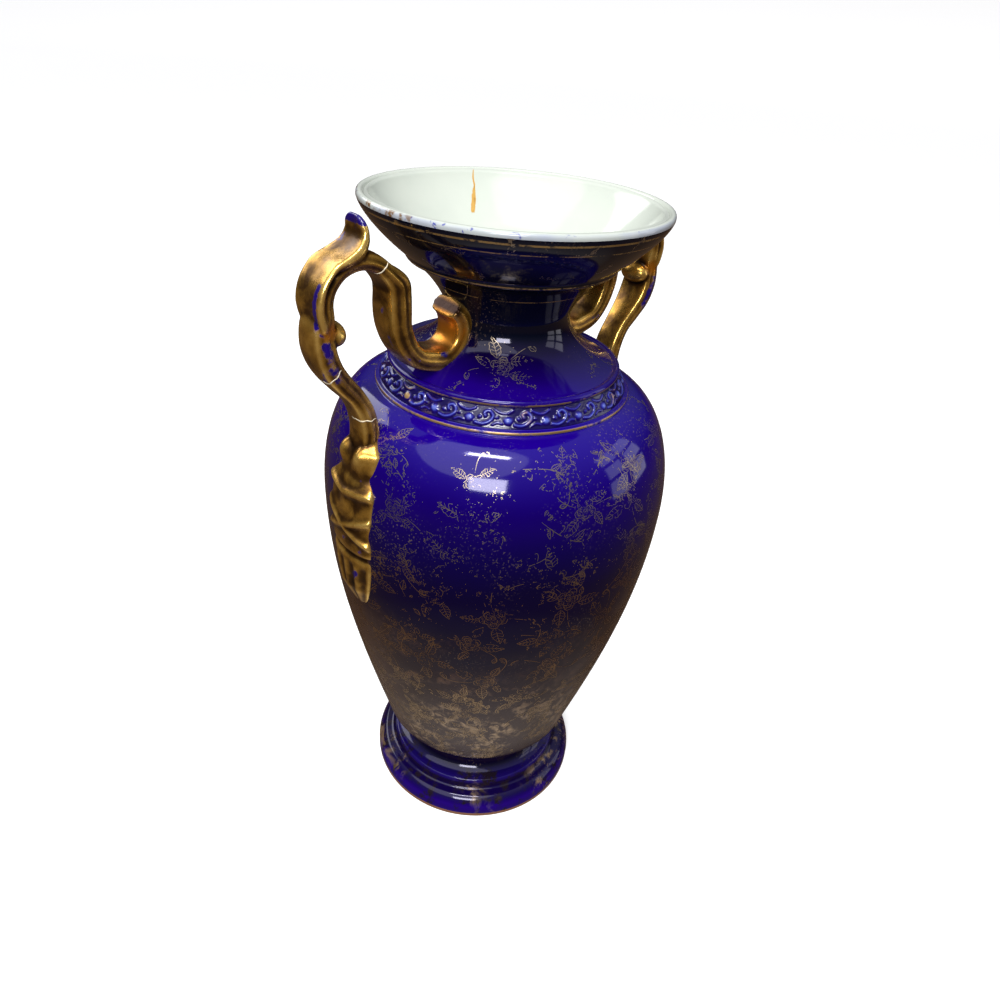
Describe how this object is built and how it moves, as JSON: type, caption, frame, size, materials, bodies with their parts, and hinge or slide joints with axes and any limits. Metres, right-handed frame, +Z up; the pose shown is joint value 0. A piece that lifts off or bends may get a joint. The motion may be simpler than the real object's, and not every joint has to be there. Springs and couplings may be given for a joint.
{
  "type": "portrait vase",
  "caption": "Tall two-handled mantel vase on a round foot, cobalt glaze with worn gilt flowers, scrolled strap handles and a wide flared mouth.",
  "frame": {"origin": "centre of the standing ring, on the surface that the vase stands on", "axes": "+Z up along the axis the vase is turned about, -X through the middle of the left handle; the right handle stands 2.3 degrees off +X; the pictured side faces -Y"},
  "size_m": [0.2224, 0.189, 0.37],
  "materials": {
    "cobalt_glaze": "glossy cobalt glaze over opaque earthenware, with worn gilding"
  },
  "bodies": {
    "root": {"vase": "cobalt_glaze"}
  },
  "joints": []
}
